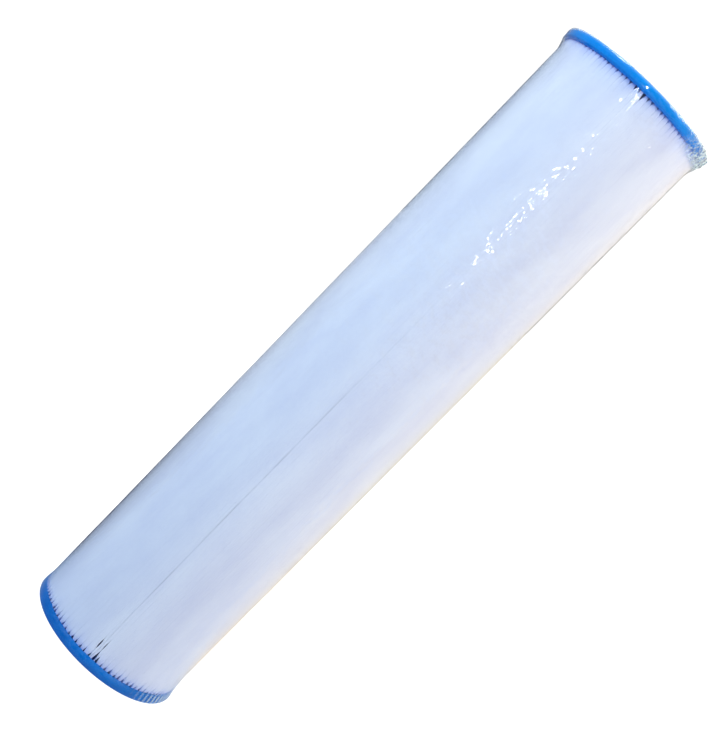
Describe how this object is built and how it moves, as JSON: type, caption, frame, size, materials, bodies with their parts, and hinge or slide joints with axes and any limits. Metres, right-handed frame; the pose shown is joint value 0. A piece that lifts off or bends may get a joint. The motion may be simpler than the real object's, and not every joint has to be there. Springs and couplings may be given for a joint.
{
  "type": "pleated filter cartridge",
  "caption": "Long open-ended pleated water filter cartridge with soft blue end caps, a perforated core and clear shrink film.",
  "frame": {"origin": "centre of the bottom, on the axis, in the plane that the lower cap stands on", "axes": "+Z along the cartridge's axis, from the lower cap to the upper; the media seam faces -Y, turned 1 degree towards +X"},
  "size_m": [0.1167, 0.1166, 0.495],
  "materials": {
    "cap": "smooth soft moulded vinyl, bright blue",
    "media": "spunbond polyester felt, white with a faint lavender cast",
    "seam": "translucent hot-melt bead",
    "core": "natural white polypropylene",
    "film": "clear crinkled shrink film"
  },
  "bodies": {
    "root": {"top_end_cap": "cap", "bottom_end_cap": "cap", "pleated_media": "media", "media_seam_bead": "seam", "core_lower_section": "core", "core_upper_section": "core", "shrink_film": "film"}
  },
  "joints": []
}
